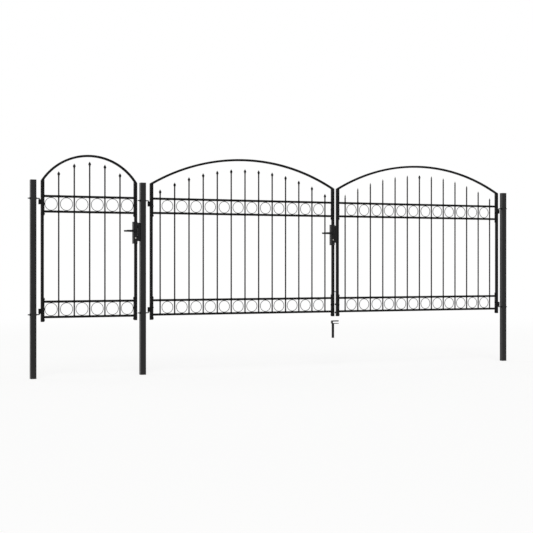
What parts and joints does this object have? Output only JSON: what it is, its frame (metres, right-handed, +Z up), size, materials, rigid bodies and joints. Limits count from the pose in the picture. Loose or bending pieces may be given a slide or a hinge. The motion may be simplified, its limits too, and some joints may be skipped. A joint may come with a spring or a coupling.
{
  "type": "garden gate set",
  "caption": "Black steel garden gate set: an arched pedestrian gate and an arched double driveway gate between square posts, with pickets, spear heads and ring bands.",
  "frame": {"origin": "centre of the middle post's foot", "axes": "+X along the closed gates, from the pedestrian gate towards the driveway gate; +Y to the back, the side that every leaf opens to; +Z up"},
  "size_m": [5.044, 0.1165, 1.9998],
  "materials": {
    "powder_coat": "satin black powder coat on steel tube, fine orange peel",
    "cast_spear_paint": "satin black paint on small castings, slightly rougher than the tubes",
    "cap_plastic": "moulded black plastic, fine grain",
    "lock_enamel": "smooth satin black on the lock housings and keeps",
    "lever_nylon": "moulded black nylon levers, polished by hands",
    "black_zinc": "black passivated zinc plate on the hinge rods and their nuts",
    "zinc_plate": "dull zinc plate on the drop bolt and the locks' plugs and bolts"
  },
  "bodies": {
    "posts": {"left_post": "powder_coat", "middle_post": "powder_coat", "right_post": "powder_coat", "post_caps": "cap_plastic", "hinge_rods": "black_zinc", "middle_post_lock_keep": "lock_enamel", "ground_stop": "powder_coat"},
    "pedestrian_gate": {"pedestrian_hinge_stile": "powder_coat", "pedestrian_free_stile": "powder_coat", "pedestrian_arch": "powder_coat", "pedestrian_upper_band": "powder_coat", "pedestrian_lower_band": "powder_coat", "pedestrian_upper_rings": "powder_coat", "pedestrian_lower_rings": "powder_coat", "pedestrian_pickets": "powder_coat", "pedestrian_spear_heads": "cast_spear_paint", "pedestrian_hinge_barrels": "powder_coat", "pedestrian_lock_case": "lock_enamel"},
    "left_gate_leaf": {"left_leaf_hinge_stile": "powder_coat", "left_leaf_free_stile": "powder_coat", "left_leaf_arch": "powder_coat", "left_leaf_upper_band": "powder_coat", "left_leaf_lower_band": "powder_coat", "left_leaf_upper_rings": "powder_coat", "left_leaf_lower_rings": "powder_coat", "left_leaf_pickets": "powder_coat", "left_leaf_spear_heads": "cast_spear_paint", "left_leaf_hinge_barrels": "powder_coat", "left_leaf_lock_case": "lock_enamel"},
    "right_gate_leaf": {"right_leaf_hinge_stile": "powder_coat", "right_leaf_free_stile": "powder_coat", "right_leaf_arch": "powder_coat", "right_leaf_upper_band": "powder_coat", "right_leaf_lower_band": "powder_coat", "right_leaf_upper_rings": "powder_coat", "right_leaf_lower_rings": "powder_coat", "right_leaf_pickets": "powder_coat", "right_leaf_spear_heads": "cast_spear_paint", "right_leaf_hinge_barrels": "powder_coat", "right_leaf_lock_keep": "lock_enamel", "right_leaf_bolt_guides": "powder_coat"},
    "pedestrian_lever": {"pedestrian_lever_handles": "lever_nylon"},
    "left_leaf_lever": {"left_leaf_lever_handles": "lever_nylon"},
    "sliding_bolt": {"drop_bolt": "zinc_plate"}
  },
  "joints": [
    {"name": "pedestrian_gate_hinge", "type": "hinge", "parent": "posts", "child": "pedestrian_gate", "pos_m": [-0.95, 0, 0.5], "axis": [0, 0, 1], "range_deg": [0, 100]},
    {"name": "left_leaf_hinge", "type": "hinge", "parent": "posts", "child": "left_gate_leaf", "pos_m": [0.058, 0, 0.5], "axis": [0, 0, 1], "range_deg": [0, 100]},
    {"name": "right_leaf_hinge", "type": "hinge", "parent": "posts", "child": "right_gate_leaf", "pos_m": [3.884, 0, 0.5], "axis": [0, 0, -1], "range_deg": [0, 100]},
    {"name": "pedestrian_lever_turn", "type": "hinge", "parent": "pedestrian_gate", "child": "pedestrian_lever", "pos_m": [-0.07425, 0, 1.31], "axis": [0, -1, 0], "range_deg": [0, 35], "stiffness_Nm_per_rad": 1.2, "springref_deg": -28.65},
    {"name": "left_leaf_lever_turn", "type": "hinge", "parent": "left_gate_leaf", "child": "left_leaf_lever", "pos_m": [1.93925, 0, 1.31], "axis": [0, -1, 0], "range_deg": [0, 35], "stiffness_Nm_per_rad": 1.2, "springref_deg": -28.65},
    {"name": "drop_bolt_slide", "type": "slide", "parent": "right_gate_leaf", "child": "sliding_bolt", "axis": [0, 0, -1], "range_m": [0, 0.06]}
  ]
}
